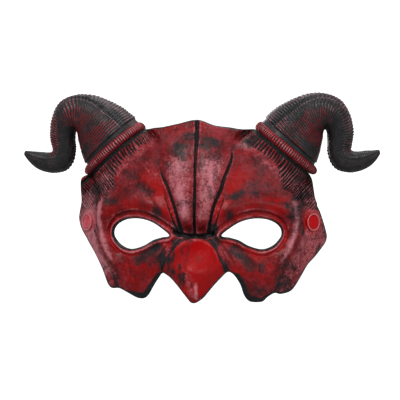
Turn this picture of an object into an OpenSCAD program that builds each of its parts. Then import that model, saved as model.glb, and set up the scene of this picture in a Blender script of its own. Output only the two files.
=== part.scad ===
// Horned half mask: a moulded foam skin with two curled ram horns, worn with an elastic strap.
// +Z is up, the face looks along -Y, and X runs across the face from one horn to the other.
// The origin is the point between the eyes, at the depth of the foremost part of the forehead.

/* [Skin] */
// Thickness of the moulded foam skin
skin_t = 3; // [2:0.5:4]
// Half width of the ellipse that the skin wraps round
wrap_half = 97; // [96:1:104]
// Depth of that ellipse from the forehead to its widest point
wrap_depth = 80; // [70:1:84]
// How far the beak stands out in front of the face
beak_depth = 18.5; // [12:0.5:22]
// Depth of the dip between the brows
root_dip = 5; // [3:0.5:6]
// Depth of each eye socket
socket_depth = 5; // [2:0.5:6]
// Height of the brow above each eye
brow_rise = 4.5; // [2:0.5:6]
// Height of the ridge that edges each eye socket at the temple
temple_rise = 6; // [3:0.5:7]

/* [Horns] */
// Radius of a horn where it leaves its collar
horn_r = 24.6; // [23:0.1:25]
// Depth of the horns' centre plane at the base
horn_y = 38; // [37:0.5:40]
// How flat the horns' base is from front to back, against its width
horn_flat = 0.84; // [0.8:0.01:0.9]
// Outer radius of the ring round a horn's base
collar_r = 27; // [26:0.1:28]
// Length of that ring along the horn
collar_l = 6; // [5:0.5:6]
// Radius of the foam plug that holds a horn
plug_r = 15; // [12:0.5:16]

/* [Strap and snaps] */
// Diameter of a snap's flat cap
cap_d = 12.4; // [11:0.1:13]
// Radius of a snap's post
post_r = 2; // [1.6:0.1:2.4]
// Width of the elastic strap
strap_w = 12; // [8:1:14]
// Thickness of one layer of elastic
strap_t = 1.1; // [0.8:0.1:1.4]
// Angle at which the strap is stored, above the horizontal
strap_rise = 28; // [24:1:32]

/* [Hidden] */
$fn = 64;

// ---- Colours ----
red_paint = [0.55, 0.05, 0.06];
black_foam = [0.06, 0.06, 0.065];
horn_black = [0.13, 0.10, 0.10];
snap_red = [0.72, 0.10, 0.14];

// ---- Outline of the skin from the front: [x, z] clockwise from the top, one list for each side ----
edge_right = [[0, 78.2], [12, 74.2], [22.5, 72.8], [30, 71.6], [36, 72.2], [39.6, 71.7],
              [75, 42.3], [78.4, 36.6], [80.8, 21.8], [84.4, 12.5], [88, -1.4], [87, -7],
              [80.6, -16], [75.3, -22], [68.8, -33.5], [64, -39.8], [57.2, -41.8], [53.2, -41],
              [48.8, -43.5], [44.7, -46.9], [36.8, -46.6], [33, -42.3], [30.5, -34.8], [26.8, -28.7],
              [22.5, -26.1], [17.8, -30.4], [13.2, -35.7], [7.4, -42.8], [2.7, -46.2], [0, -46.8]];
edge_left = [[13, 75.6], [23.5, 73.4], [30.5, 72.8], [36, 72.6], [39.6, 71.7], [75, 42.3],
             [83.8, 37.8], [84, 22], [87, 7.7], [79.5, -5.3], [73.3, -14.1], [67.6, -24.3],
             [63.2, -35.2], [60.1, -38.2], [54.3, -38.2], [49.2, -40.5], [41.2, -44.4], [36.2, -44.7],
             [32.5, -42], [28.3, -35.1], [24.4, -29.4], [22, -27], [16.5, -29.5], [11.2, -34.3],
             [5.3, -41.4], [2.3, -45.6]];
// Eye hole on the right, [x, z]; the left one is its mirror image
eye_edge = [[18, -1.5], [22.7, 2.9], [30.5, 7.7], [39.4, 10], [48, 9.5], [54.3, 6.6],
            [57.4, 2.6], [57.3, -2.2], [52.4, -8], [45, -10.7], [36.4, -8.5], [29.5, -4.6], [23.3, -2.7]];

// ---- Horn base: a frame whose axis points up and out in the horns' plane ----
horn_x = 61.3;
horn_z = 61.8;
horn_tilt = 39.8; // angle of the axis from +Z towards +X
axis_x = sin(horn_tilt);
axis_z = cos(horn_tilt);
root_r = collar_r - 1.8;   // radius of the skin where it meets the collar
plug_l = 26;               // how far the plug runs into the horn
plug_tip_r = 8;
plug_back = 14;            // how far the plug's foot reaches below the horn's base
plug_gap = 0.1;

// ---- Horn: [inner x, inner z, outer x, outer z, depth] at stations from the base to the tip ----
horn_stations = [
    [horn_x + horn_r * axis_z, horn_z - horn_r * axis_x,
     horn_x - horn_r * axis_z, horn_z + horn_r * axis_x, horn_y],
    [83, 54.8, 54.4, 87.4, 37], [85.3, 64.3, 69.9, 95, 35.5],
    [85.9, 68.8, 83.9, 97.1, 35], [86.6, 71.2, 94.9, 94, 35], [87.7, 71.2, 101.7, 87.6, 36],
    [88.5, 69, 105.5, 78.3, 38], [88.8, 64.8, 106.6, 68.3, 39.5], [88.8, 57.3, 105.6, 60.6, 40.5],
    [90.8, 49.6, 105.1, 58, 41], [96, 43.7, 106.4, 56.7, 41], [103.9, 41.8, 109, 56.5, 40.5],
    [111.8, 43.2, 112.7, 56.8, 40], [118.3, 46.5, 117, 57.1, 39.5], [122.6, 50.7, 121, 57.4, 39],
    [125.2, 54.6, 124.2, 57.7, 38.5]];
horn_steps = 2;   // rings from one station to the next
horn_sides = 24;

// ---- Snaps ----
snap_x = 78.5;
snap_z = 7.5;
snap_turn = 48.5; // angle of a snap's axis from -Y towards the side
snap_y = wrap_y(snap_x);
seat_r = 9;
seat_fade = 14;
cap_t = 1.6;
socket_r = 5.2;
socket_t = 2.6;
bore_gap = 0.05;

// ---- Strap: the hinge line runs through both snaps, where the elastic lies behind the skin ----
end_depth = skin_t + strap_t + 0.2;   // depth of a strap end's middle plane, along the snap's axis
hinge_x = snap_x - end_depth * sin(snap_turn);
hinge_y = snap_y + end_depth * cos(snap_turn);
// Direction of the elastic at a snap, in the plane of the loop: [outwards, backwards]
end_dir = [sin(90 - snap_turn), cos(90 - snap_turn) / cos(strap_rise)];
// The loop's right half: [x, distance behind the hinge line], from the strap end's tip to the back
end_path = [[hinge_x, 0] - 7 * end_dir, [hinge_x, 0] - 3.5 * end_dir, [hinge_x, 0],
            [hinge_x, 0] + 3.5 * end_dir, [hinge_x, 0] + 6.5 * end_dir,
            [80.5, 9.6], [80.5, 12.6], [80.3, 16]];
band_path = [[80.3, 16], [80, 20], [78.4, 28], [74.5, 38], [66.8, 50.5], [55, 63], [39, 74.5],
             [20, 81.3], [0, 83.5]];
weld = 0.05;   // gap between the band and each end

function clamp01(u) = min(1, max(0, u));
function fade(a, b, t) = let (u = clamp01((t - a) / (b - a))) u * u * (3 - 2 * u);
function bell(t, w) = exp(-pow(t / w, 2));

// The ellipse that the whole skin wraps round
function wrap_y(x) = wrap_depth * (1 - sqrt(1 - pow(min(abs(x), 0.985 * wrap_half) / wrap_half, 2)));
// The forehead leans back towards the top, and the cheeks tuck under
function lean_y(z) = pow(max(0, z - 15), 2) / 226 + pow(max(0, -10 - z), 2) / 250;
// The beak's height above the face, from its root down to its tip
function beak_keel(z) = beak_depth * (fade(-2, -27, z) - 0.16 * fade(-40, -48, z));
function beak_half(z) = 11 + 11.5 * fade(-1, -22, z);
function beak_y(x, z) = -beak_keel(z) * pow(max(0, 1 - pow(abs(x) / beak_half(z), 1.7)), 0.85);
// The forehead's two middle lobes swell between the nose root and the hairline
function lobe_y(x, z) = -3.5 * bell(x, 8 + 0.3 * max(0, z)) * fade(0, 22, z) * (1 - fade(55, 80, z));
function dip_y(x, z) = root_dip * bell(x, 15) * bell(z + 1, 7);
function socket_y(x, z) = socket_depth * bell(norm([(abs(x) - 42) / 24, (z - 1) / 15]), 1)
                          * fade(10, 20, abs(x));
// The brow arches over the eye from the nose root to the temple
function brow_line(x) = 20 - 0.0125 * pow(abs(x) - 42, 2);
function brow_y(x, z) = -brow_rise * bell(z - brow_line(x), 6.5) * fade(10, 24, abs(x))
                        * (1 - fade(60, 74, abs(x)));
// A sharp ridge runs down the temple, outside the socket, and fades out on the cheek
function temple_line(z) = 68.5 - 0.011 * pow(z - 11, 2);
function temple_y(x, z) = let (d = abs(x) - temple_line(z))
    -temple_rise * bell(d, d < 0 ? 6 : 7) * fade(-32, -10, z) * (1 - fade(18, 36, z));
function face_y(x, z) = wrap_y(x) + lean_y(z) + beak_y(x, z) + lobe_y(x, z) + dip_y(x, z)
                        + socket_y(x, z) + brow_y(x, z) + temple_y(x, z);

// Place of a point along the right horn's base axis, and across it in the horns' plane
function along(x, z) = (abs(x) - horn_x) * axis_x + (z - horn_z) * axis_z;
function across(x, z) = (abs(x) - horn_x) * axis_z - (z - horn_z) * axis_x;
// Below the collar the skin is the front of a round root, which flares into the face
function root_y(a, s) = let (r = root_r + 5 * pow(max(0, -collar_l - a) / 16, 2))
    horn_y - horn_flat * r * sqrt(max(0.04, 1 - pow(s / r, 2)));
function root_share(a, s) = fade(-28, -9, a) * (1 - fade(24, 31, -s));
// Round each snap the skin is flat, so that the cap sits flush
function seat_plane(x) = snap_y + (abs(x) - snap_x) * tan(snap_turn);
function seat_share(x, z) = 1 - fade(seat_r, seat_fade, norm([(abs(x) - snap_x) / cos(snap_turn), z - snap_z]));

function skin_y(x, z) =
    let (a = along(x, z), s = across(x, z), root = root_share(a, s), seat = seat_share(x, z),
         y = face_y(x, z) * (1 - root) + root_y(a, s) * root)
    y * (1 - seat) + seat_plane(x) * seat;

slope_step = 0.5;
function skin_normal(x, z) =
    let (dx = (skin_y(x + slope_step, z) - skin_y(x - slope_step, z)) / (2 * slope_step),
         dz = (skin_y(x, z + slope_step) - skin_y(x, z - slope_step)) / (2 * slope_step),
         n = [dx, -1, dz])
    n / norm(n);

sheet_half = 89;     // the sheet runs a little past the outline on every side
sheet_low = -50;
sheet_high = 82;
sheet_cols = 45;
sheet_rows = 33;
function sheet_x(i) = wrap_half * sin(asin(sheet_half / wrap_half) * (2 * i / sheet_cols - 1));
function sheet_z(j) = sheet_low + (sheet_high - sheet_low) * j / sheet_rows;

// A sheet of even thickness that follows the skin's surface
module skin_sheet() {
    n = (sheet_cols + 1) * (sheet_rows + 1);
    front = [for (j = [0:sheet_rows], i = [0:sheet_cols]) let (x = sheet_x(i), z = sheet_z(j))
             [x, skin_y(x, z), z]];
    back = [for (p = front) p - skin_t * skin_normal(p[0], p[2])];
    function at(i, j) = j * (sheet_cols + 1) + i;
    faces_front = [for (j = [0:sheet_rows - 1], i = [0:sheet_cols - 1], k = [0, 1])
        k == 0 ? [at(i, j), at(i, j + 1), at(i + 1, j + 1)] : [at(i, j), at(i + 1, j + 1), at(i + 1, j)]];
    faces_back = [for (f = faces_front) [f[2] + n, f[1] + n, f[0] + n]];
    rim = concat([for (i = [0:sheet_cols]) at(i, 0)], [for (j = [1:sheet_rows]) at(sheet_cols, j)],
                 [for (i = [sheet_cols - 1:-1:0]) at(i, sheet_rows)],
                 [for (j = [sheet_rows - 1:-1:1]) at(0, j)]);
    m = len(rim);
    faces_rim = [for (k = [0:m - 1], h = [0, 1]) let (p = rim[k], q = rim[(k + 1) % m])
        h == 0 ? [p, q, q + n] : [p, q + n, p + n]];
    polyhedron(concat(front, back), concat(faces_front, faces_back, faces_rim));
}

function mirrored(points) = [for (i = [len(points) - 1:-1:0]) [-points[i][0], points[i][1]]];
prism_front = 40;
prism_depth = 130;

// A flat shape in the front view, drawn out along Y
module front_prism(points) {
    translate([0, prism_depth - prism_front, 0])
        rotate([90, 0, 0])
            linear_extrude(prism_depth) polygon(points);
}

// Runs its children at the right snap, with Z along the snap's axis and pointing out of the skin
module at_snap() {
    translate([snap_x, snap_y, snap_z])
        rotate([0, 0, snap_turn])
            rotate([90, 0, 0]) children();
}

// Runs its children at the right horn's base, with Z along the horn
module at_horn() {
    translate([horn_x, horn_y, horn_z]) rotate([0, horn_tilt, 0]) children();
}

module both_sides() {
    children();
    mirror([1, 0, 0]) children();
}

module face_skin() {
    color(red_paint)
        difference() {
            intersection() {
                skin_sheet();
                front_prism(concat(edge_right, mirrored(edge_left)));
            }
            both_sides() {
                front_prism(eye_edge);
                at_snap() translate([0, 0, -skin_t - 2]) cylinder(r = post_r + bore_gap, h = skin_t + 4);
            }
        }
}

face_skin();

// A closed solid through rings of points, each ring in the same order round the path
module loft(rings) {
    n = len(rings[0]);
    m = len(rings);
    points = [for (r = rings) each r];
    sides = [for (j = [0:m - 2], i = [0:n - 1], k = [0, 1])
        let (a = j * n + i, b = j * n + (i + 1) % n)
        k == 0 ? [a, a + n, b + n] : [a, b + n, b]];
    polyhedron(concat(points, [middle(rings[0]), middle(rings[m - 1])]),
               concat(sides, [for (i = [0:n - 1]) [m * n, i, (i + 1) % n]],
                      [for (i = [0:n - 1]) [m * n + 1, (m - 1) * n + (i + 1) % n, (m - 1) * n + i]]));
}
function middle(r) = [for (k = [0:2]) [for (p = r) p[k]] * [for (p = r) 1] / len(r)];

// A smooth curve through a list of stations, taken at t stations along it
function smooth(list, t) =
    let (n = len(list), i = min(floor(t), n - 2), u = t - i,
         p = list[i], q = list[i + 1],
         d = i > 0 ? (q - list[i - 1]) / 2 : q - p,
         e = i < n - 2 ? (list[i + 2] - p) / 2 : q - p)
    p * (1 - 3 * u * u + 2 * u * u * u) + q * (3 * u * u - 2 * u * u * u)
    + d * (u - 2 * u * u + u * u * u) + e * (u * u * u - u * u);

function horn_ring(t) =
    let (st = smooth(horn_stations, t),
         c = [(st[0] + st[2]) / 2, st[4], (st[1] + st[3]) / 2],
         half = [(st[0] - st[2]) / 2, 0, (st[1] - st[3]) / 2],
         flat = horn_flat + 0.06 * fade(0, 6, t))
    [for (i = [0:horn_sides - 1]) let (w = 360 * i / horn_sides)
        c + half * cos(w) + [0, flat * norm(half) * sin(w), 0]];

module horn() {
    count = (len(horn_stations) - 1) * horn_steps;
    color(horn_black)
        difference() {
            loft([for (k = [0:count]) horn_ring(k / horn_steps)]);
            at_horn() rotate_extrude()
                polygon([[0, -1], [plug_r + plug_gap, -1], [plug_r + plug_gap, 0],
                         [plug_tip_r + plug_gap, plug_l + plug_gap], [0, plug_l + plug_gap]]);
        }
}
module horn_right() { horn(); }
module horn_left() { mirror([1, 0, 0]) horn(); }
horn_right();
horn_left();

// The rounded roll of the collar: [how far out from its inner wall, height above its lower face]
collar_wall = plug_r / horn_flat + 0.6;
collar_profile = let (out = collar_r - collar_wall, h = collar_l / 2 - 0.1)
    concat([[0, collar_l / 2 - h]],
           [for (w = [-90:30:90]) [out - h + h * cos(w), collar_l / 2 + h * sin(w)]],
           [[0, collar_l / 2 + h]]);

module collar() {
    sides = 48;
    m = len(collar_profile);
    points = [for (i = [0:sides - 1], p = collar_profile) let (w = 360 * i / sides, r = collar_wall + p[0])
              [r * cos(w), horn_flat * r * sin(w), p[1]]];
    faces = [for (i = [0:sides - 1], j = [0:m - 1], k = [0, 1])
        let (a = i * m + j, b = i * m + (j + 1) % m, c = (i + 1) % sides * m + j,
             d = (i + 1) % sides * m + (j + 1) % m)
        k == 0 ? [a, b, d] : [a, d, c]];
    color(red_paint)
        at_horn() translate([0, 0, -collar_l]) polyhedron(points, faces);
}
module horn_collar_right() { collar(); }
module horn_collar_left() { mirror([1, 0, 0]) collar(); }
horn_collar_right();
horn_collar_left();

module plug() {
    color(black_foam)
        at_horn() rotate_extrude()
            polygon([[0, -plug_back], [plug_r - 1, -plug_back], [plug_r, 1 - plug_back], [plug_r, 0],
                     [plug_tip_r, plug_l], [0, plug_l]]);
}
module horn_plug_right() { plug(); }
module horn_plug_left() { mirror([1, 0, 0]) plug(); }
horn_plug_right();
horn_plug_left();

module snap_cap() {
    post_l = skin_t + 2 * strap_t + socket_t;
    color(snap_red)
        at_snap() rotate_extrude() union() {
            translate([0, bore_gap]) square([cap_d / 2 - cap_t / 2, cap_t]);
            intersection() {
                translate([cap_d / 2 - cap_t / 2, bore_gap + cap_t / 2]) circle(r = cap_t / 2);
                translate([0, bore_gap]) square([cap_d / 2, cap_t]);
            }
            translate([0, -post_l]) square([post_r, post_l + 1]);
        }
}
module snap_cap_right() { snap_cap(); }
module snap_cap_left() { mirror([1, 0, 0]) snap_cap(); }
snap_cap_right();
snap_cap_left();

module snap_socket() {
    color(black_foam)
        at_snap() translate([0, 0, -end_depth - strap_t - 0.05 - socket_t])
            rotate_extrude()
                polygon([[post_r + bore_gap, 0], [socket_r - 0.9, 0], [socket_r, 0.9],
                         [socket_r, socket_t], [post_r + bore_gap, socket_t]]);
}
module snap_socket_right() { snap_socket(); }
module snap_socket_left() { mirror([1, 0, 0]) snap_socket(); }
snap_socket_right();
snap_socket_left();

// The loop's plane tips up about the hinge line; q is a distance back along it
function in_loop(x, q) = [x, hinge_y + q * cos(strap_rise), snap_z + q * sin(strap_rise)];
loop_up = [0, -sin(strap_rise), cos(strap_rise)];
seat_up = let (d = [end_dir[0], end_dir[1] * cos(strap_rise), end_dir[1] * sin(strap_rise)])
    let (w = cross(cross([0, 0, 1], d), d)) -w / norm(w);

// A flat ribbon of elastic along a path in the loop; its width turns from the seat's to the loop's
function ribbon_ring(path, k, thick, lead) =
    let (n = len(path), p = path[k],
         d2 = path[min(k + 1, n - 1)] - path[max(k - 1, 0)],
         d = in_loop(d2[0], d2[1]) - in_loop(0, 0),
         u0 = seat_up * (1 - fade(6, 16, p[1])) + loop_up * fade(6, 16, p[1]),
         u1 = u0 - d * (u0 * d) / (d * d), u = u1 / norm(u1) * strap_w / 2,
         v0 = cross(d, u), v = v0 / norm(v0) * thick / 2,
         c = in_loop(p[0], p[1]) + lead * d / norm(d))
    [c - u - v, c + u - v, c + u + v, c - u + v];

module strap_end() {
    n = len(end_path);
    color(black_foam)
        difference() {
            loft([for (k = [0:n - 1]) ribbon_ring(end_path, k, 2 * strap_t, k == n - 1 ? -weld : 0)]);
            at_snap() translate([0, 0, -end_depth - 4]) cylinder(r = post_r + bore_gap, h = 8);
        }
}
module strap_end_right() { strap_end(); }
module strap_end_left() { mirror([1, 0, 0]) strap_end(); }
strap_end_right();
strap_end_left();

module strap_band() {
    n = len(band_path);
    full = concat(band_path, [for (i = [n - 2:-1:0]) [-band_path[i][0], band_path[i][1]]]);
    steps = 3 * (len(full) - 1);
    fine = [for (k = [0:steps]) smooth(full, k / 3)];
    color(black_foam) loft([for (k = [0:steps]) ribbon_ring(fine, k, strap_t, 0)]);
}
strap_band();
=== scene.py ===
"""Looks of the horned half mask: foam skin, ridged horns, collars, snaps and the elastic strap.

Shapes are worked out in millimetres, in the CAD's frame, and become metres when a mesh is made.
"""
import math

import bpy
import numpy as np
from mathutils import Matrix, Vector, kdtree
from mathutils.geometry import delaunay_2d_cdt


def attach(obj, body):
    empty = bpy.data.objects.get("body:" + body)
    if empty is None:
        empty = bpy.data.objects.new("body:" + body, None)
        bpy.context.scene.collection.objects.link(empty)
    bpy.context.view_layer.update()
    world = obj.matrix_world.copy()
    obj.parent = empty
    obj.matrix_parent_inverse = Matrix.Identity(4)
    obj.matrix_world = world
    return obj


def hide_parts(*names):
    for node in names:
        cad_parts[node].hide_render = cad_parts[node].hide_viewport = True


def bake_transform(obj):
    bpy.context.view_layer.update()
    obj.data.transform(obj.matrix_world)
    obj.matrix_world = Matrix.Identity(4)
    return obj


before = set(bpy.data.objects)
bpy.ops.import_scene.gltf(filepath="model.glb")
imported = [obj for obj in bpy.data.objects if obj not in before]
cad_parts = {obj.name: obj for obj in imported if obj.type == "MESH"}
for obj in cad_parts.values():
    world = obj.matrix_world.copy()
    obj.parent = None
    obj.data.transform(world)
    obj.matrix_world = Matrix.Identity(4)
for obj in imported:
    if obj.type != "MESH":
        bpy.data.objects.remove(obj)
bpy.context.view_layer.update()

MM = 0.001

# ---------------------------------------------------------------- camera

CAMERA_TURN = math.radians(6)
CAMERA_DISTANCE = 1.2
FRAME_WIDTH = 0.272
LOOK_AT = Vector((0.0034, 0.004, 0.0228))


def make_camera():
    camera = bpy.data.objects.new("camera", bpy.data.cameras.new("camera"))
    bpy.context.scene.collection.objects.link(camera)
    back = Vector((math.sin(CAMERA_TURN), -math.cos(CAMERA_TURN), 0))
    camera.location = LOOK_AT + back * CAMERA_DISTANCE
    camera.rotation_mode = "QUATERNION"
    camera.rotation_quaternion = (-back).to_track_quat("-Z", "Y")
    camera.data.sensor_width = 36
    camera.data.lens = 36 * CAMERA_DISTANCE / FRAME_WIDTH
    camera.data.clip_start = 0.05
    bpy.context.scene.camera = camera


make_camera()

# ---------------------------------------------------------------- small maths


def fade(a, b, t):
    u = np.clip((np.asarray(t, float) - a) / (b - a), 0, 1)
    return u * u * (3 - 2 * u)


def bell(t, w):
    return np.exp(-(np.asarray(t, float) / w) ** 2)


def span(a, b, c, d, t):
    """Rises from 0 to 1 between a and b, and falls again between c and d."""
    return fade(a, b, t) * (1 - fade(c, d, t))


def more(mask, value):
    """Raises a mask to a value wherever the value is greater."""
    np.maximum(mask, value, out=mask)


def columns(*values):
    """A row for each point, from its coordinates; a single number fills its column."""
    return np.stack(np.broadcast_arrays(*values), axis=1)


def unit(v):
    return v / np.linalg.norm(v, axis=-1, keepdims=True)


def left_of(run):
    """Unit vectors square to a line's run in its plane, on its left."""
    t = unit(run)
    return columns(-t[:, 1], t[:, 0])


def held(slope, limit):
    """A slope no longer than a limit, so that a curve doesn't overshoot where its points crowd."""
    length = np.linalg.norm(slope)
    return slope * (limit / length) if length > limit else slope


def smooth_line(points, steps=8, closed=False):
    """A Catmull-Rom curve through a few points, as a dense array."""
    p = np.array(points, float)
    n = len(p)
    out = []
    for i in range(n if closed else n - 1):
        a, b = p[i], p[(i + 1) % n]
        before = p[i - 1] if closed or i else a
        after = p[(i + 2) % n] if closed or i < n - 2 else b
        d, e = (b - before) / 2, (after - a) / 2
        if closed:
            chord = np.linalg.norm(b - a)
            d = held(d, min(chord, np.linalg.norm(a - before)))
            e = held(e, min(chord, np.linalg.norm(after - b)))
        for k in range(steps):
            u = k / steps
            h = np.array([2 * u**3 - 3 * u**2 + 1, u**3 - 2 * u**2 + u, -2 * u**3 + 3 * u**2, u**3 - u**2])
            out.append(h[0] * a + h[1] * d + h[2] * b + h[3] * e)
    if not closed:
        out.append(p[-1])
    return np.array(out)


def run_along(line):
    """Distance along a polyline at each of its points."""
    return np.concatenate([[0], np.cumsum(np.linalg.norm(np.diff(line, axis=0), axis=1))])


def even_line(line, step, closed=False):
    """The same line with its points evenly spaced, about a step apart."""
    p = np.vstack([line, line[:1]]) if closed else line
    run = run_along(p)
    count = max(2, round(run[-1] / step))
    at = np.linspace(0, run[-1], count + 1)
    if closed:
        at = at[:-1]
    return np.stack([np.interp(at, run, p[:, k]) for k in range(p.shape[1])], axis=1)


def from_line(x, z, line):
    """Distance of each point from a polyline, and how far along it the nearest place is (0 to 1)."""
    best = np.full(len(x), 1e9)
    share = np.zeros(len(x))
    run = run_along(line)
    for i in range(len(line) - 1):
        a, b = line[i], line[i + 1]
        d = b - a
        length2 = max(d @ d, 1e-12)
        u = np.clip(((x - a[0]) * d[0] + (z - a[1]) * d[1]) / length2, 0, 1)
        dist = np.hypot(x - a[0] - u * d[0], z - a[1] - u * d[1])
        closer = dist < best
        best[closer] = dist[closer]
        share[closer] = (run[i] + u[closer] * (run[i + 1] - run[i])) / run[-1]
    return best, share


def in_plan(x, z):
    """Points of the front view, for the noise."""
    return columns(x, 0, z)


def lattice_noise(p, scale, seed=0):
    """Smooth noise from -1 to 1 at points p (n x 3), with features about a scale across."""
    q = np.asarray(p, float) / scale
    i = np.floor(q).astype(np.int64)
    f = q - i
    f = f * f * f * (f * (f * 6 - 15) + 10)
    total = np.zeros(len(q))
    for corner in range(8):
        o = np.array([corner & 1, (corner >> 1) & 1, (corner >> 2) & 1])
        c = i + o
        h = (c[:, 0] * 374761393 + c[:, 1] * 668265263 + c[:, 2] * 2147483647 + seed * 144665) & 0xFFFFFFFF
        h = ((h ^ (h >> 13)) * 1274126177) & 0xFFFFFFFF
        h = h ^ (h >> 16)
        w = np.where(o == 1, f, 1 - f).prod(axis=1)
        total += w * ((h & 0xFFFF) / 32767.5 - 1)
    return total


def layered_noise(p, scale, layers=3, seed=0):
    total, size = np.zeros(len(p)), 1.0
    for k in range(layers):
        total += lattice_noise(p, scale / 2**k, seed + 17 * k) * size
        size /= 2
    return total / 1.6


# ---------------------------------------------------------------- the skin's surface, as in the CAD

SKIN_T = 3.0
WRAP_HALF, WRAP_DEPTH = 97.0, 80.0
BEAK_DEPTH = 18.5
ROOT_DIP = 5.0
SOCKET_DEPTH = 5.0
BROW_RISE = 4.5
TEMPLE_RISE = 6.0
HORN_R, HORN_Y, HORN_FLAT = 24.6, 38.0, 0.84
COLLAR_R, COLLAR_L = 27.0, 6.0
HORN_X, HORN_Z, HORN_TILT = 61.3, 61.8, math.radians(39.8)
AXIS_X, AXIS_Z = math.sin(HORN_TILT), math.cos(HORN_TILT)
ROOT_R = COLLAR_R - 1.8
SNAP_X, SNAP_Z, SNAP_TURN = 78.5, 7.5, math.radians(48.5)
SEAT_R, SEAT_FADE = 9.0, 14.0

EDGE_RIGHT = [
    (0, 78.2), (12, 74.2), (22.5, 72.8), (30, 71.6), (36, 72.2), (39.6, 71.7), (75, 42.3), (78.4, 36.6),
    (80.8, 21.8), (84.4, 12.5), (88, -1.4), (87, -7), (80.6, -16), (75.3, -22), (68.8, -33.5), (64, -39.8),
    (57.2, -41.8), (53.2, -41), (48.8, -43.5), (44.7, -46.9), (36.8, -46.6), (33, -42.3), (30.5, -34.8),
    (26.8, -28.7), (22.5, -26.1), (17.8, -30.4), (13.2, -35.7), (7.4, -42.8), (2.7, -46.2), (0, -46.8)]
EDGE_LEFT = [
    (13, 75.6), (23.5, 73.4), (30.5, 72.8), (36, 72.6), (39.6, 71.7), (75, 42.3), (83.8, 37.8),
    (84, 22), (87, 7.7), (79.5, -5.3), (73.3, -14.1), (67.6, -24.3), (63.2, -35.2), (60.1, -38.2),
    (54.3, -38.2), (49.2, -40.5), (41.2, -44.4), (36.2, -44.7), (32.5, -42), (28.3, -35.1), (24.4, -29.4),
    (22, -27), (16.5, -29.5), (11.2, -34.3), (5.3, -41.4), (2.3, -45.6)]
EYE_EDGE = [
    (18, -1.5), (22.7, 2.9), (30.5, 7.7), (39.4, 10), (48, 9.5), (54.3, 6.6), (57.4, 2.6),
    (57.3, -2.2), (52.4, -8), (45, -10.7), (36.4, -8.5), (29.5, -4.6), (23.3, -2.7)]


def wrap_y(x):
    t = np.minimum(np.abs(x), 0.985 * WRAP_HALF) / WRAP_HALF
    return WRAP_DEPTH * (1 - np.sqrt(1 - t * t))


SNAP_Y = float(wrap_y(SNAP_X))


def beak_half(z):
    return 11 + 11.5 * fade(-1, -22, z)


def face_y(x, z):
    ax = np.abs(x)
    lean = np.maximum(0, z - 15) ** 2 / 226 + np.maximum(0, -10 - z) ** 2 / 250
    keel = BEAK_DEPTH * (fade(-2, -27, z) - 0.16 * fade(-40, -48, z))
    beak = -keel * np.maximum(0, 1 - (ax / beak_half(z)) ** 1.7) ** 0.85
    lobe = -3.5 * bell(x, 8 + 0.3 * np.maximum(0, z)) * span(0, 22, 55, 80, z)
    dip = ROOT_DIP * bell(x, 15) * bell(z + 1, 7)
    socket = SOCKET_DEPTH * bell(np.hypot((ax - 42) / 24, (z - 1) / 15), 1) * fade(10, 20, ax)
    brow_line = 20 - 0.0125 * (ax - 42) ** 2
    brow = -BROW_RISE * bell(z - brow_line, 6.5) * span(10, 24, 60, 74, ax)
    d = ax - (68.5 - 0.011 * (z - 11) ** 2)
    temple = -TEMPLE_RISE * bell(d, np.where(d < 0, 6, 7)) * span(-32, -10, 18, 36, z)
    return wrap_y(x) + lean + beak + lobe + dip + socket + brow + temple


def along(x, z):
    return (np.abs(x) - HORN_X) * AXIS_X + (z - HORN_Z) * AXIS_Z


def across(x, z):
    return (np.abs(x) - HORN_X) * AXIS_Z - (z - HORN_Z) * AXIS_X


def skin_y(x, z):
    a, s = along(x, z), across(x, z)
    r = ROOT_R + 5 * (np.maximum(0, -COLLAR_L - a) / 16) ** 2
    root_y = HORN_Y - HORN_FLAT * r * np.sqrt(np.maximum(0.04, 1 - (s / r) ** 2))
    root = fade(-28, -9, a) * (1 - fade(24, 31, -s))
    y = face_y(x, z) * (1 - root) + root_y * root
    off = np.hypot((np.abs(x) - SNAP_X) / math.cos(SNAP_TURN), z - SNAP_Z)
    seat = 1 - fade(SEAT_R, SEAT_FADE, off)
    return y * (1 - seat) + (SNAP_Y + (np.abs(x) - SNAP_X) * math.tan(SNAP_TURN)) * seat


def skin_frame(x, z, step=0.5):
    """Points of the skin's outer surface and its outward normals there."""
    slope_x = (skin_y(x + step, z) - skin_y(x - step, z)) / (2 * step)
    slope_z = (skin_y(x, z + step) - skin_y(x, z - step)) / (2 * step)
    return columns(x, skin_y(x, z), z), unit(columns(slope_x, -1, slope_z))


# The skin is triangulated in a plan rolled flat round the face, so its triangles keep one size.
_turn = np.linspace(0, math.asin(0.97), 2000)
_plan_run = run_along(columns(WRAP_HALF * np.sin(_turn), WRAP_DEPTH * (1 - np.cos(_turn))))


def rolled(x):
    return np.sign(x) * np.interp(np.abs(x), WRAP_HALF * np.sin(_turn), _plan_run)


def unrolled(u):
    return np.sign(u) * np.interp(np.abs(u), _plan_run, WRAP_HALF * np.sin(_turn))


# ---------------------------------------------------------------- meshes


def link(name, vertices, faces, slot):
    mesh = bpy.data.meshes.new(name)
    mesh.from_pydata((np.asarray(vertices) * MM).tolist(), [], [tuple(map(int, f)) for f in faces])
    mesh.validate()
    mesh.polygons.foreach_set("use_smooth", [True] * len(mesh.polygons))
    mesh.update()
    obj = bpy.data.objects.new(name, mesh)
    bpy.context.scene.collection.objects.link(obj)
    return obj


SIDES = {1: "right", -1: "left"}


def on_side(side, vertices, faces):
    """A right-hand shape as it is, or mirrored to the left with its faces turned round."""
    if side > 0:
        return vertices, faces
    return vertices * (-1, 1, 1), [f[::-1] for f in faces]


def tube_faces(rings, sides):
    """Four-sided faces between closed rings of points."""
    return [(j * sides + i, j * sides + (i + 1) % sides,
             (j + 1) * sides + (i + 1) % sides, (j + 1) * sides + i)
            for j in range(rings - 1) for i in range(sides)]


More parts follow.
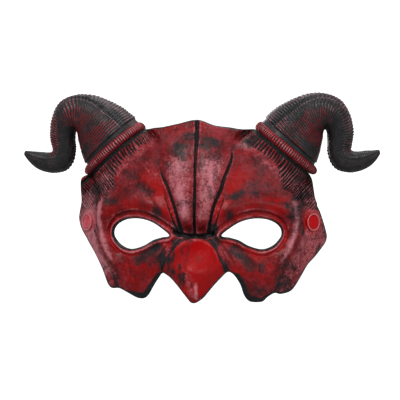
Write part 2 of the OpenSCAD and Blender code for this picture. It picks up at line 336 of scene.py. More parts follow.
def paint(obj, **masks):
    """Stores a mask for each vertex, which the materials read by name."""
    for name, values in masks.items():
        a = obj.data.attributes.new(name, "FLOAT", "POINT")
        a.data.foreach_set("value", np.asarray(values, np.float32))


def inside(u, z, loop):
    """Which points lie inside a closed loop."""
    hit = np.zeros(len(u), bool)
    for i in range(len(loop)):
        (ax, az), (bx, bz) = loop[i - 1], loop[i]
        if az == bz:
            continue
        crosses = (az > z) != (bz > z)
        hit ^= crosses & (u < ax + (z - az) * (bx - ax) / (bz - az))
    return hit


def nearest_edge(u, z, loops):
    """Distance from each point to the loops, and which loop is nearest."""
    samples = [(p, k) for k, loop in enumerate(loops) for p in even_line(loop, 0.12, closed=True)]
    tree = kdtree.KDTree(len(samples))
    for i, (p, _) in enumerate(samples):
        tree.insert((p[0], p[1], 0), i)
    tree.balance()
    found = [tree.find((a, b, 0)) for a, b in zip(u, z)]
    return np.array([f[2] for f in found]), np.array([samples[f[1]][1] for f in found])


def grid_points(lo, hi, spacing):
    rise = spacing * math.sqrt(3) / 2
    return np.array([(u + (j % 2) * spacing / 2, z) for j, z in enumerate(np.arange(lo[1], hi[1], rise))
                     for u in np.arange(lo[0], hi[0], spacing)])


def triangulate(loops, spacing, rows, fine=None):
    """Triangles between the outline and the holes: rows of points along the edges, a grid elsewhere.

    Where fine(u, z) is true the grid is closer.
    """
    def in_sheet(p):
        keep = inside(p[:, 0], p[:, 1], loops[0])
        for hole in loops[1:]:
            keep &= ~inside(p[:, 0], p[:, 1], hole)
        return keep

    edges, start = [], 0
    for loop in loops:
        n = len(loop)
        edges += [(start + i, start + (i + 1) % n) for i in range(n)]
        start += n
    extra = []
    for k, loop in enumerate(loops):
        left = left_of(np.roll(loop, -1, axis=0) - np.roll(loop, 1, axis=0))
        area = np.sum(loop[:, 0] * np.roll(loop[:, 1], -1) - np.roll(loop[:, 0], -1) * loop[:, 1])
        inward = left * np.sign(area) * (1 if k == 0 else -1)
        extra += [loop + inward * row for row in rows]
    lo, hi = loops[0].min(axis=0), loops[0].max(axis=0)
    grid = grid_points(lo, hi, spacing)
    if fine:
        close = grid_points(lo, hi, spacing * 0.6)
        grid = np.vstack([grid[~fine(grid[:, 0], grid[:, 1])], close[fine(close[:, 0], close[:, 1])]])
    extra.append(grid)
    least = np.concatenate([np.full(len(e), 0.8 * r) for e, r in
                            zip(extra, [row for _ in loops for row in rows] + [rows[-1] + 0.55 * spacing])])
    extra = np.vstack(extra)
    keep = in_sheet(extra)
    extra, least = extra[keep], least[keep]
    gap, _ = nearest_edge(extra[:, 0], extra[:, 1], loops)
    extra = extra[gap > least]
    cloud = [Vector(p) for p in np.vstack([*loops, extra])]
    flat, _, tris, *_ = delaunay_2d_cdt(cloud, edges, [], 0, 1e-5)
    flat = np.array([v[:] for v in flat])
    tris = np.array([t for t in tris if len(t) == 3])
    return flat, tris[in_sheet(flat[tris].mean(axis=1))], start


# ---------------------------------------------------------------- the skin's carved detail

CENTRE_LINE = [(0, 78.5), (0.7, 63), (0.4, 44), (0.5, 21), (-0.1, 8), (-0.3, -1)]
# Each side groove of the forehead, and the finer line that joins it lower down: right, then left
SIDE_LINES = [[(25.1, 60), (25, 54), (24, 48), (20.4, 38.5), (17.4, 28.5), (13.4, 19), (10.6, 8), (9, -0.5)],
              [(-25, 46), (-22.2, 38.8), (-17.6, 29.5), (-13.6, 18), (-10.4, 7), (-8.4, -0.5)]]
TWIN_LINES = [[(22.4, 32), (19.3, 22), (16.2, 12), (13.6, 4), (11.6, -1.5)],
              [(-22.6, 32), (-18.4, 19.5), (-14.6, 8.5), (-11.4, 0), (-10.4, -2)]]
ROOT_LINE = [(-13.5, 0.5), (-9, -1.0), (0, -1.7), (9, -1.2), (13.5, 0)]
BEAK_LINES = [[(0, -1.9), (6, -3.0), (10.9, -5.6), (14.8, -10.2), (17.8, -16), (20.4, -21.6), (22.2, -26)],
              [(0, -1.9), (-5.5, -2.9), (-10, -5.2), (-15, -9.8), (-19, -16.4), (-21.5, -21.4), (-22.6, -26)]]
EYE_FOLDS = [[(15.5, -3.5), (20.5, -10), (24.5, -17), (28, -24)],
             [(-15.5, -3.5), (-20.5, -9), (-25, -17), (-28, -24)]]
SMEARS = [[(27, -10.5), (32, -15.5), (38, -22)], [(-27, -9), (-33, -14), (-39.5, -18.5)]]
# Smudges of the dark wash: middle, half width, half height, tilt in radians, strength
WASH_SPOTS = [
    (45, -23.5, 4.0, 3.2, 0.4, 1.1), (27, 25.5, 6.4, 3.0, -0.45, 1.1), (68, 18, 4.0, 9, 0.1, 0.9),
    (56, 20, 10, 2.2, 0.2, 0.85), (-58, 21, 8, 3, 0.2, 0.7), (-25, 14, 4.0, 11, 0.5, 0.75),
    (25, 10, 3.2, 8, -0.6, 0.75), (13, 2.5, 3.6, 4.2, 0, 1.6), (-12.5, 1.5, 3.2, 3.6, 0, 1.6),
    (14.5, -5.5, 4.0, 3.4, 0.6, 1.2), (-13.5, -5.5, 3.0, 2.6, -0.6, 0.9), (9, 61, 8, 4.5, 0.3, 0.8),
    (-10, 56, 7, 6, 0, 0.75), (-4, 66, 6, 3.5, 0, 0.75), (-34, 30, 8, 4, 0.5, 0.7),
    (35, 61, 9, 3, -0.3, 0.6), (-70, 30, 5, 6, 0, 0.8), (-22.5, -19, 2.4, 6, 0.1, 0.9),
    (21, -23, 2.4, 5, -0.3, 0.9), (60, -36, 6, 6, 0, 0.7), (60, -22, 6, 5, 0, 0.5), (42, 47, 6, 6, 0, 0.45),
    (-44, 40, 7, 4, 0.3, 0.45), (6, 47, 4, 7, 0, 0.45), (-7, 20, 4, 5, 0, 0.4), (10, 27, 3.5, 5, 0, 0.45),
    (-38, -28, 8, 5, 0.3, 0.4), (36, -34, 7, 6, 0, 0.45)]


def fringe(x, z):
    """The fringe of wrinkles below each collar: its height and its share of the surface."""
    a, s = along(x, z), across(x, z)
    lean = np.clip(s / ROOT_R, -0.985, 0.985)
    arc = ROOT_R * np.arcsin(lean) + (s - lean * ROOT_R) * 1.6
    p = columns(arc, a * 0.35, np.sign(x) * 40)
    count = arc / 2.5 + 0.80 * layered_noise(p, 6, 3, 3)
    strand = np.floor(count)
    luck = lattice_noise(columns(strand, 0, np.sign(x) * 9) + 0.5, 1.0, 5)
    ridge = 0.5 - 0.5 * np.cos(2 * math.pi * (count - strand))
    end = -18.0 - 4.0 * luck - 9.0 * fade(3, 20, s)
    share = span(-8.3, -9.3, end + 4.5, end, a) * (1 - fade(27, 30, -s))
    return ridge, share * (0.7 + 0.3 * luck)


def groove_at(z, line):
    """How far from the middle a side groove lies at each height."""
    upwards = np.array(line[::-1])
    return np.interp(z, upwards[:, 1], np.abs(upwards[:, 0]))


def skin_detail(x, z, gap, loop_index):
    """How far the carved detail lifts the skin, and the paint masks that follow it."""
    n = len(x)
    p = in_plan(x, z)
    ax = np.abs(x)
    face = 1 - fade(-14, -8, along(x, z))
    lift, ink, wash, pale, glow = (np.zeros(n) for _ in range(5))

    def groove(line, depth, width, raise_by=0.25, fade_in=0.0, fade_out=0.0, black=1.25):
        nonlocal lift
        d, share = from_line(x, z, smooth_line(line, 6))
        w = width(share) if callable(width) else width
        ends = fade(0, max(fade_in, 1e-6), share) * fade(0, max(fade_out, 1e-6), 1 - share)
        ends = np.where(share <= 0, ends if fade_in else 1.0, ends)
        cut = bell(d, w) * ends
        lift -= depth * cut
        # The raised lip beside each groove carries a painted highlight
        lip = bell(d - 2.1 * w, 0.9 * w) * ends
        lift += raise_by * lip
        more(ink, np.clip(black * bell(d, w) * ends, 0, 1))
        more(pale, 0.5 * lip)

    # Pillow-like lobes between the forehead's grooves
    side_x = np.where(x > 0, groove_at(z, SIDE_LINES[0]), groove_at(z, SIDE_LINES[1]))
    u = np.clip(ax / side_x, 0, 2)
    lobe = np.clip(1 - (2 * u - 1) ** 2, 0, 1) * span(-2, 10, 46, 74, z)
    lift += 1.5 * lobe * face
    outer = np.clip(1 - ((u - 1.45) / 0.5) ** 2, 0, 1) * span(2, 16, 30, 52, z)
    lift += 0.8 * outer * face

    groove(CENTRE_LINE, 2.0, lambda t: 0.62 + 0.4 * (1 - fade(0, 0.45, t)) + 0.1 * t, 0.35)
    for line in SIDE_LINES:
        groove(line, 1.7, lambda t: 0.35 + 0.42 * fade(0, 0.3, t), 0.35, fade_in=0.16)
    for line in TWIN_LINES:
        groove(line, 1.2, lambda t: 0.3 + 0.3 * t, 0.2, fade_in=0.35, black=0.65)
    groove(ROOT_LINE, 2.0, 1.1, 0.1)
    for line in BEAK_LINES:
        groove(line, 1.1, lambda t: 0.9 - 0.2 * t, 0.3, black=0.62)
    for line in EYE_FOLDS:
        groove(line, 0.5, 0.8, 0.3, fade_in=0.3, fade_out=0.4, black=0.22)

    # A rolled lip round each eye hole, with a crease outside it: painted highlights run along the lid's crest
    # and the fold above it, and the crease is darkened as painted shade
    at_eye = loop_index > 0
    upper = fade(-1, 4, z)
    lid = np.where(at_eye, bell(gap - 2.3, 1.4), 0)
    crease = np.where(at_eye, bell(gap - 4.7, 0.8), 0)
    fold = np.where(at_eye, bell(gap - 6.6, 1.5), 0) * upper
    lift += 1.35 * lid - 0.6 * crease + 0.8 * fold
    streaks = 0.7 + 0.5 * layered_noise(p, 12, 2, 8)
    # Painted highlights along the crest of the lid and along the fold above it
    more(pale, 1.15 * streaks * np.where(at_eye, bell(gap - 2.6, 0.7), 0))
    more(pale, streaks * np.where(at_eye, bell(gap - 6.8, 0.8), 0) * upper)
    # Painted shade: the crease outside the lid is darkened
    more(ink, 0.35 * crease * (0.5 + 0.5 * layered_noise(p, 9, 2, 6)))
    more(glow, np.where(at_eye, bell(gap - 3.2, 2.6), 0) * 0.55)

    # The fringe below the collar and the groove between them
    ridge, share = fringe(x, z)
    a, s = along(x, z), across(x, z)
    lift += (2.0 * ridge - 1.0 + 0.5 * layered_noise(p, 3.5, 2, 55)) * share
    by_collar = bell(a + 7.1, 1.15) * (1 - fade(28.5, 30.5, -s))
    lift -= 1.7 * by_collar
    more(ink, np.clip(share * (1.65 - 2.1 * ridge + 0.15 * (x > 0)), 0, 1))
    more(ink, np.clip(1.5 * by_collar, 0, 1))
    more(pale, 1.1 * share * fade(0.5, 0.95, ridge) * (0.35 + 0.65 * fade(-11, -16, a)))
    halo = bell(a + 19, 4.5) * (1 - fade(27, 30, -s))
    more(pale, 0.45 * halo)

    # Fine carved wrinkles on the outer cheeks
    cheek = bell(ax - 59, 10) * fade(-15, -24, z)
    carved = layered_noise(in_plan(ax * 0.94 - z * 0.35, (z + 0.35 * ax) * 0.13), 1.5, 2, 21)
    lift += 0.35 * carved * cheek
    more(wash, np.clip(-carved * 2.2, 0, 1) * 0.9 * cheek)
    more(pale, np.clip(carved * 1.6, 0, 1) * 0.6 * cheek)

    # Lumps of the hand-worked surface
    wrinkle = layered_noise(p, 7, 3, 31)
    lift += 0.28 * wrinkle + 0.10 * layered_noise(p, 2.2, 2, 33)
    pock = layered_noise(p, 3.0, 2, 35)
    lift -= 0.35 * fade(0.35, 0.8, pock) * (1 - share)

    # Dark smears of the wash
    for line in SMEARS:
        d, _ = from_line(x, z, smooth_line(line, 6))
        more(wash, 0.95 * fade(6.5, 1.0, d + 1.6 * layered_noise(p, 4, 3, 41)))
        lift -= 0.5 * fade(4.5, 1, d)
    for cx, cz, rx, rz, tilt, strength in WASH_SPOTS:
        dx, dz = x - cx, z - cz
        e = np.hypot((dx * math.cos(tilt) - dz * math.sin(tilt)) / rx,
                     (dx * math.sin(tilt) + dz * math.cos(tilt)) / rz)
        more(wash, strength * fade(1.6, 0.3, e + 0.45 * layered_noise(p, 3.5, 3, 43)))

    more(wash, 0.55 * fade(0.1, 0.9, layered_noise(p, 13, 3, 45)))

    # Pale tone on what stands out, partly dry brushing and partly painted highlight: the lobes, temple ridge,
    # outer cheeks and the beak's keel. The outer flanks and the forehead's outer part are painted paler on
    # the left than on the right, as a painted reflection
    keel = 1.15 * bell(x - 2.6, 1.5) * span(-30, -36, -43, -46, z)
    beside = 0.62 * bell(x + 1.5 + 0.3 * (z + 36), 4.0) * span(-18, -30, -42, -46, z)
    ridge_d = ax - (68.5 - 0.011 * (z - 11) ** 2)
    crest = bell(ridge_d, 2.4) * span(-26, -14, 20, 30, z)
    flank = fade(1, 8, ridge_d) * span(-40, -20, 22, 34, z)
    side = bell(ax - 78, 9) * span(-6, 4, 18, 36, z)
    # Painted reflection: the left side is painted paler than the right
    on_side = np.where(x < 0, 1.05, 0.62)
    grain = 0.92 + 0.35 * layered_noise(in_plan(x * 1.2, z * 0.35), 3.2, 3, 53)
    drybrush_and_highlight = np.maximum.reduce([
        grain * lobe * span(4, 14, 42, 66, z),
        keel,
        beside,
        1.1 * crest,
        on_side * flank,
        on_side * side,
        0.22 * fade(-22, -30, x) * span(0, 10, 40, 70, z),
        0.5 * fade(52, 62, ax) * fade(-10, -25, z)])
    more(pale, drybrush_and_highlight)
    on_beak = fade(0, -8, z) * (1 - fade(0.82, 1.02, ax / beak_half(z)))
    # Painted light: the beak's right side is painted a brighter red than its left
    more(glow, (0.45 + 0.4 * fade(-6, 6, x)) * on_beak)
    streak = layered_noise(in_plan(x, z * 0.5), 2.8, 5, 47)
    lift += 0.14 * streak * on_beak
    more(wash, (1.5 - 0.7 * fade(-10, 6, x)) * fade(-0.1, 0.8, streak) * on_beak)
    more(wash, 0.25 * span(26, 34, 58, 66, ax) * bell(z - 24, 10))
    more(glow, 0.6 * outer)
    over_eye = bell(z - 19 + 0.0125 * (ax - 42) ** 2, 8) * span(24, 34, 58, 66, ax)
    more(glow, 0.5 * over_eye)
    more(wash, 0.4 * over_eye)
    more(glow, 0.35 * bell(ax - 38, 16) * bell(z + 27, 12))

    scratch = layered_noise(in_plan(ax - 0.4 * z, z * 0.22 + ax * 0.1), 1.9, 3, 49)
    scratched = fade(66, 74, ax) * span(-40, -28, 24, 36, z)
    more(wash, 1.1 * fade(0.15, 0.8, scratch) * scratched)

    seat = 1 - fade(7.5, 11, np.hypot((ax - SNAP_X) / math.cos(SNAP_TURN), z - SNAP_Z))
    quiet = (1 - seat) * fade(0.0, 1.6, gap)
    lift *= quiet
    ink *= 1 - 0.8 * seat
    wash = wash * (1 - seat) * (1 - 0.4 * glow)
    more(glow, np.where(x > 0, 0.9, 0.5) * seat)

    # Along the edges the paint stops and the black foam rolls over
    notch = span(22.2, 24.5, 40, 50, ax) * fade(-25, -28, z)
    rim_low = fade(2, -4, z) * 0.6 + fade(46, 55, ax) * 0.8
    lower = np.where(at_eye, rim_low, 0.5 * fade(-34, -38, z) * fade(24, 30, ax))
    band = 0.7 + 0.25 * at_eye + lower + 2.4 * notch
    bare = fade(band + 0.5, band - 0.5, gap + 0.35 * layered_noise(p, 3, 2, 51))
    return lift, notch, {"ink": ink, "wash": wash, "pale": pale, "glow": glow, "coat": 1 - bare}


def sunk(normal, depth, gap):
    """Moves into the foam: square to the surface, but straight back at the edges, where the wall is cut."""
    cut = 1 - fade(0, 4, gap)
    straight = columns(0, -1 / normal[:, 1], 0)
    return depth[:, None] * (straight * cut[:, None] - normal * (1 - cut)[:, None])


def edge_roll(gap, width):
    """How far a sheet's face falls away towards an edge, as a quarter round of a width."""
    return SKIN_T / 2 * (1 - np.sqrt(np.clip(1 - (1 - np.minimum(gap / width, 1)) ** 2, 0, 1)))


EDGE_STEP = 0.55
FRONT_SPACING, BACK_SPACING = 0.62, 1.5


def build_skin():
    outline = smooth_line(EDGE_RIGHT + [(-q[0], q[1]) for q in EDGE_LEFT[::-1]], 6, closed=True)
    eye = smooth_line(EYE_EDGE, 8, closed=True)
    loops = [outline, eye, eye * (-1, 1)]
    rolled_loops = [columns(rolled(l[:, 0]), l[:, 1]) for l in loops]

    def in_fringe(u, z):
        a = along(unrolled(u), z)
        s = across(unrolled(u), z)
        return (a > -20 - 9 * fade(3, 20, s)) & (s > -30)

    def sheet(spacing, rows, fine=None):
        rings = [even_line(l, EDGE_STEP, closed=True) for l in rolled_loops]
        flat, tris, n_edge = triangulate(rings, spacing, rows, fine)
        x, z = unrolled(flat[:, 0]), flat[:, 1]
        gap, which = nearest_edge(flat[:, 0], z, rings)
        gap[:n_edge] = 0
        return x, z, gap, which, tris, n_edge

    x, z, gap, which, tris, n_edge = sheet(FRONT_SPACING, (0.35, 0.8, 1.3), in_fringe)
    base, normal = skin_frame(x, z)
    lift, notch, masks = skin_detail(x, z, gap, which)
    front = base + normal * lift[:, None] + sunk(normal, edge_roll(gap, 1.5 + 1.8 * notch), gap)

    bx, bz, bgap, _, btris, _ = sheet(BACK_SPACING, (0.5, 1.1))
    bbase, bnormal = skin_frame(bx, bz, 0.9)
    bplan = in_plan(bx, bz)
    behind = SKIN_T - edge_roll(bgap, 1.5) - 0.15 * layered_noise(bplan, 6, 2, 61) * fade(0, 2, bgap)
    back = bbase + sunk(bnormal, behind, bgap)

    # Both sheets share the vertices of the edge loops
    moved = np.arange(len(bx)) + len(x) - n_edge
    moved[:n_edge] = np.arange(n_edge)

    def wound(t, pts, towards):
        a, b, c = pts[t[:, 0]], pts[t[:, 1]], pts[t[:, 2]]
        flip = np.cross(b - a, c - a)[:, 1] * towards < 0
        t = t.copy()
        t[flip] = t[flip][:, ::-1]
        return t

    faces = np.vstack([wound(tris, in_plan(x, z), -1), moved[wound(btris, bplan, 1)]])
    obj = link("face_skin_foam", np.vstack([front, back[n_edge:]]), faces, "skin")
    # The inside was never painted: its coat is -1, which the material reads as bare, flecked foam
    inner = np.zeros(len(bx) - n_edge)
    for name, mask in masks.items():
        paint(obj, **{name: np.append(mask, inner - 1 if name == "coat" else inner)})
    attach(obj, "mask")
    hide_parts("face_skin")
    return obj


# ---------------------------------------------------------------- horns and collars

HORN_STATIONS = [
    (HORN_X + HORN_R * AXIS_Z, HORN_Z - HORN_R * AXIS_X,
     HORN_X - HORN_R * AXIS_Z, HORN_Z + HORN_R * AXIS_X, HORN_Y),
    (83, 54.8, 54.4, 87.4, 37), (85.3, 64.3, 69.9, 95, 35.5), (85.9, 68.8, 83.9, 97.1, 35),
    (86.6, 71.2, 94.9, 94, 35), (87.7, 71.2, 101.7, 87.6, 36), (88.5, 69, 105.5, 78.3, 38),
    (88.8, 64.8, 106.6, 68.3, 39.5), (88.8, 57.3, 105.6, 60.6, 40.5), (90.8, 49.6, 105.1, 58, 41),
    (96, 43.7, 106.4, 56.7, 41), (103.9, 41.8, 109, 56.5, 40.5), (111.8, 43.2, 112.7, 56.8, 40),
    (118.3, 46.5, 117, 57.1, 39.5), (122.6, 50.7, 121, 57.4, 39), (125.2, 54.6, 124.2, 57.7, 38.5)]
RING_PITCH = 1.6
HORN_RINGS, HORN_SIDES = 430, 108


def build_horn(side):
    """A curled horn: rings of ridges along it, a groove on its upper front, smooth towards the tip."""
    line = smooth_line(HORN_STATIONS, 24)
    station = np.linspace(0, len(HORN_STATIONS) - 1, len(line))

    def middle(line):
        return columns((line[:, 0] + line[:, 2]) / 2, line[:, 4], (line[:, 1] + line[:, 3]) / 2)

    run = run_along(middle(line))
    at = np.linspace(0, run[-1], HORN_RINGS)
    line = np.stack([np.interp(at, run, line[:, k]) for k in range(5)], axis=1)
    station = np.interp(at, run, station)
    length = run[-1]
    centre = middle(line)
    half = columns(line[:, 2] - line[:, 0], 0, line[:, 3] - line[:, 1]) / 2
    size = np.linalg.norm(half, axis=1)
    flat = HORN_FLAT + 0.06 * fade(0, 6, station)
    # w is 0 at the outer edge of the curl and a quarter turn at its front
    w = np.linspace(0, 2 * math.pi, HORN_SIDES, endpoint=False)
    cos, sin = np.cos(w), np.sin(w)
    forward = sin[:, None] * np.array([0, 1.0, 0])
    ring = centre[:, None] + half[:, None] * cos[:, None] - (flat * size)[:, None, None] * forward
    out = unit((half / size[:, None])[:, None] * cos[:, None] * flat[:, None, None] - forward)
    p = ring.reshape(-1, 3)
    t = np.repeat(at, HORN_SIDES)
    turn = np.tile(w, HORN_RINGS)
    girth = np.repeat(size, HORN_SIDES)
    off = np.where(turn > math.pi, turn - 2 * math.pi, turn)
    q = columns(t, np.tile(sin, HORN_RINGS) * 12, np.tile(cos, HORN_RINGS) * 12)
    q[:, 2] += 90 * side
    slant = 1.7 * lattice_noise(q * (1, 0.7, 0.7), 15, 71) + 0.55 * lattice_noise(q * (1, 1.6, 1.6), 7, 73)
    count = t / RING_PITCH + slant * 0.55
    ridge = (0.5 - 0.5 * np.cos(2 * math.pi * count)) ** 0.8
    strength = np.clip(0.75 + 0.7 * layered_noise(q * (1.6, 1, 1), 7, 3, 77), 0.1, 1.2)
    tip = fade(length * 0.70, length * 0.84, t)
    # Past the arch the inner half of the curl is a smooth dark flank, set off by an edge
    past = fade(length * 0.40, length * 0.50, t)
    edge = off - math.radians(74)
    flank = past * fade(-0.10, 0.10, edge) * (1 - fade(math.pi, math.pi + 0.6, off % (2 * math.pi)))
    base_band = 1 - fade(2.6, 4.0, t)
    shape = 0.58 * ridge * strength * (1 - 0.75 * tip) * (1 - 0.8 * flank)
    shape *= fade(2.5, 4.5, t) * np.clip(girth / 9, 0.4, 1)
    grooved = span(1, 4, length * 0.34, length * 0.47, t)
    line_at = math.radians(52) - math.radians(26) * fade(length * 0.15, length * 0.45, t)
    groove_d = (off - line_at) * girth
    groove = bell(groove_d, 1.0) * grooved
    lift = shape - 2.0 * groove + 0.5 * bell(groove_d + 2.0, 1.1) * grooved
    bald = span(-7, -2, 0, 1, groove_d)
    bald *= grooved * (1 - fade(length * 0.1, length * 0.4, t))
    lift -= 0.9 * base_band + 0.55 * flank + 0.4 * bald
    lift += 0.25 * layered_noise(q, 6, 2, 81) * fade(0, 4, t) * np.clip(girth / 8, 0.3, 1)
    scratch = lattice_noise(q * (0.25, 2.2, 2.2), 2.0, 83)
    lift += 0.10 * scratch * np.maximum(tip, flank)
    p = p + out.reshape(-1, 3) * (lift * fade(length, length - 3, t))[:, None]
    point = p[-HORN_SIDES:].mean(axis=0) + np.array([0.5, 0, 0.3])
    vertices = np.vstack([p, centre[0], point])
    faces = tube_faces(HORN_RINGS, HORN_SIDES)
    first, last = len(p), len(p) + 1
    end = (HORN_RINGS - 1) * HORN_SIDES
    for i in range(HORN_SIDES):
        k = (i + 1) % HORN_SIDES
        faces += [(first, k, i), (last, end + i, end + k)]
    name = SIDES[side]
    obj = link(f"horn_{name}_foam", *on_side(side, vertices, faces), "horn")
    inner_front = bell(off - math.radians(112), 0.75) * (1 - fade(length * 0.3, length * 0.5, t))
    patchy = 0.46 + 0.9 * layered_noise(q, 10, 4, 85) + 0.3 * inner_front
    red_at = np.clip(patchy + (0.1 if side < 0 else 0), 0, 1)
    outside = 1 - fade(math.radians(105), math.radians(135), np.abs(off)) * past
    plain = (1 - flank) * (1 - base_band) * (1 - bald) * (1 - tip)
    red = fade(0.25, 0.85, ridge) * strength * red_at * outside * plain
    strip = (0.6 + 0.5 * layered_noise(q, 8, 2, 87)) * (0.5 + 0.5 * ridge)
    strip *= bell(off - math.radians(40), 0.55) * past * (1 - tip) * (1 - base_band)
    more(red, (1.5 if side < 0 else 0.5) * strip)
    ink = np.maximum.reduce([groove, base_band, 0.9 * (1 - ridge) ** 1.3 * plain])
    # Painted highlights: a pale sheen along the outer top of the curl, strongest on the ridge tops, and a
    # pale line beside the groove
    sheen = fade(math.radians(100), math.radians(10), np.abs(off)) * (0.35 + 0.65 * ridge) * (1 - 0.8 * tip)
    lip = bell(groove_d - 1.8, 0.7) * grooved
    caps = [0, 0]
    paint(obj, coat=np.append(red, caps), ink=np.append(ink, caps), wash=np.zeros(len(vertices)),
          glow=np.append(0.3 * red_at * strength, caps),
          pale=np.append(np.maximum(sheen, lip) * (1 - bald), caps))
    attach(obj, "mask")
    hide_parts(f"horn_{name}")
    return obj


def at_horn(lx, ly, h):
    """Points at (lx, ly) across the right horn's base, h along its axis."""
    return columns(HORN_X + lx * AXIS_Z + h * AXIS_X, HORN_Y + ly, HORN_Z - lx * AXIS_X + h * AXIS_Z)


COLLAR_NOTCHES = 88


def build_collar(side):
    """The roll round a horn's base, notched across all the way round."""
    around, across_n = 560, 22
    wall = 15 / HORN_FLAT + 0.6
    radius = COLLAR_L / 2 + 0.3
    out = COLLAR_R - wall
    bend = np.linspace(-math.pi / 2, math.pi / 2, across_n)
    profile_r = out - radius + radius * np.cos(bend)
    profile_h = COLLAR_L / 2 + radius * np.sin(bend)
    w = np.linspace(0, 2 * math.pi, around, endpoint=False)
    turn = np.repeat(w, across_n)
    row = np.tile(np.arange(across_n), around)
    q = columns(np.cos(turn) * 26, np.sin(turn) * 26, row * 0.12 + 50 * side)
    count = turn / (2 * math.pi) * COLLAR_NOTCHES + 0.6 * layered_noise(q, 8, 2, 91)
    notch = (0.5 + 0.5 * np.cos(2 * math.pi * count)) ** 1.6
    swell = np.tile(np.cos(bend), around)
    uneven = 0.7 + 0.6 * layered_noise(q, 5, 2, 93)
    depth = (0.8 * notch * uneven + 0.5 * layered_noise(q, 6, 3, 95)) * swell
    depth -= 1.1 * fade(0.8, 1.0, np.cos(turn)) * swell
    depth += 1.4 * fade(-0.7, -1.0, np.cos(turn)) * swell
    r = wall + np.tile(profile_r, around) - depth
    h = np.tile(profile_h, around) - COLLAR_L
    outer = at_horn(r * np.cos(turn), HORN_FLAT * r * np.sin(turn), h)
    inner = [at_horn(wall * np.cos(w), HORN_FLAT * wall * np.sin(w), profile_h[k] - COLLAR_L)
             for k in (0, across_n - 1)]
    vertices = np.vstack([outer, *inner])
    low, high = len(outer), len(outer) + around
    faces = []
    for i in range(around):
        k = (i + 1) % around
        a, b = i * across_n, k * across_n
        faces += [(a + j + 1, b + j + 1, b + j, a + j) for j in range(across_n - 1)]
        faces += [(a, b, low + k, low + i), (low + i, low + k, high + k, high + i),
                  (high + i, high + k, b + across_n - 1, a + across_n - 1)]
    name = SIDES[side]
    obj = link(f"horn_collar_{name}_foam", *on_side(side, vertices, faces), "collar")
    pad = np.zeros(2 * around)
    wear_and_highlight = np.clip(0.65 + 0.8 * layered_noise(q, 15, 2, 97), 0, 1)
    # The pale tone on the crest of the roll, between the notches, is a painted highlight
    paint(obj, ink=np.append(np.clip(0.85 * notch ** 1.5 + 1.2 * fade(0.5, 0.0, swell), 0, 1), pad + 1),
          coat=np.append((1 - notch) * wear_and_highlight * fade(0.1, 0.5, swell), pad),
          glow=np.append(0.4 * wear_and_highlight, pad), wash=np.zeros(len(vertices)),
          pale=np.append((1 - notch) ** 2 * fade(0.75, 1.0, swell) * wear_and_highlight, pad))
    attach(obj, "mask")
    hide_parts(f"horn_collar_{name}")
    return obj


# ---------------------------------------------------------------- snaps


def revolve(name, slot, profile, side, segments=72):
    """Turns a closed profile of (radius, height along the snap's axis) round the snap's axis."""
    w = np.linspace(0, 2 * math.pi, segments, endpoint=False)
    vertices, faces, rings = [], [], []
    for r, h in profile:
        count = segments if r else 1
        rings.append([len(vertices) + i % count for i in range(segments)])
        vertices += [(r * math.cos(a), r * math.sin(a), h) for a in w[:count]]
    pairs = list(zip(rings, rings[1:]))
    if profile[0][0] and profile[-1][0]:
        pairs.append((rings[-1], rings[0]))
    for a, b in pairs:
        for i in range(segments):
            k = (i + 1) % segments
            f = [a[i], a[k], b[k], b[i]]
            faces.append([v for n, v in enumerate(f) if v not in f[:n]][::-1])
    x, z, h = np.array(vertices).T
    placed = columns(SNAP_X + x * math.cos(SNAP_TURN) + h * math.sin(SNAP_TURN),
                     SNAP_Y + x * math.sin(SNAP_TURN) - h * math.cos(SNAP_TURN), SNAP_Z + z)
    return link(name, *on_side(side, placed, faces), slot)


STRAP_T, STRAP_W = 1.1, 12.0
CAP_R, POST_R = 6.2, 2.0
SOCKET_R, SOCKET_T = 5.2, 2.6
END_DEPTH = SKIN_T + STRAP_T + 0.2


def build_snap(side):
    name = SIDES[side]
    foot = SKIN_T + 2 * STRAP_T + SOCKET_T
    bend = np.linspace(-0.9, math.pi / 2, 9)
    rim = [(CAP_R - 0.55 + 0.55 * math.cos(a), 0.75 + 0.85 * math.sin(a)) for a in bend]
    profile = [(0, 1.35), (2, 1.33), (4, 1.24), (4.7, 1.2), (5.0, 1.28), (5.3, 1.52)] + rim[::-1] \
        + [(CAP_R - 0.5, 0.05), (POST_R, 0.05), (POST_R, 0.2 - foot), (POST_R - 0.3, -foot), (0, -foot)]
    cap = revolve(f"snap_cap_{name}_moulded", "snap_cap", profile, side)
    co = np.array([v.co for v in cap.data.vertices]) / MM
    axis = np.array([side * math.sin(SNAP_TURN), -math.cos(SNAP_TURN), 0])
    rel = co - np.array([side * SNAP_X, SNAP_Y, SNAP_Z])
    h = rel @ axis
    r = np.linalg.norm(rel - h[:, None] * axis, axis=1)
    paint(cap, pale=bell(r - 5.6, 0.45) * fade(0.9, 1.3, h),
          ink=bell(r - 4.85, 0.25) * 0.6 + fade(0.5, 0.1, h))
    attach(cap, "mask")
    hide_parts(f"snap_cap_{name}")
    top = -END_DEPTH - STRAP_T - 0.05
    low = top - SOCKET_T
    ring = [(POST_R + 0.05, low + 0.3), (POST_R + 0.35, low), (SOCKET_R - 1.4, low),
            (SOCKET_R - 0.9, low + 0.2), (SOCKET_R - 0.35, low + 0.7), (SOCKET_R, low + 1.3),
            (SOCKET_R, top - 0.3), (SOCKET_R - 0.3, top), (POST_R + 0.05, top)]
    socket = revolve(f"snap_socket_{name}_moulded", "snap_socket", ring[::-1], side)
    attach(socket, "mask")
    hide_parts(f"snap_socket_{name}")
    return cap, socket


# ---------------------------------------------------------------- strap

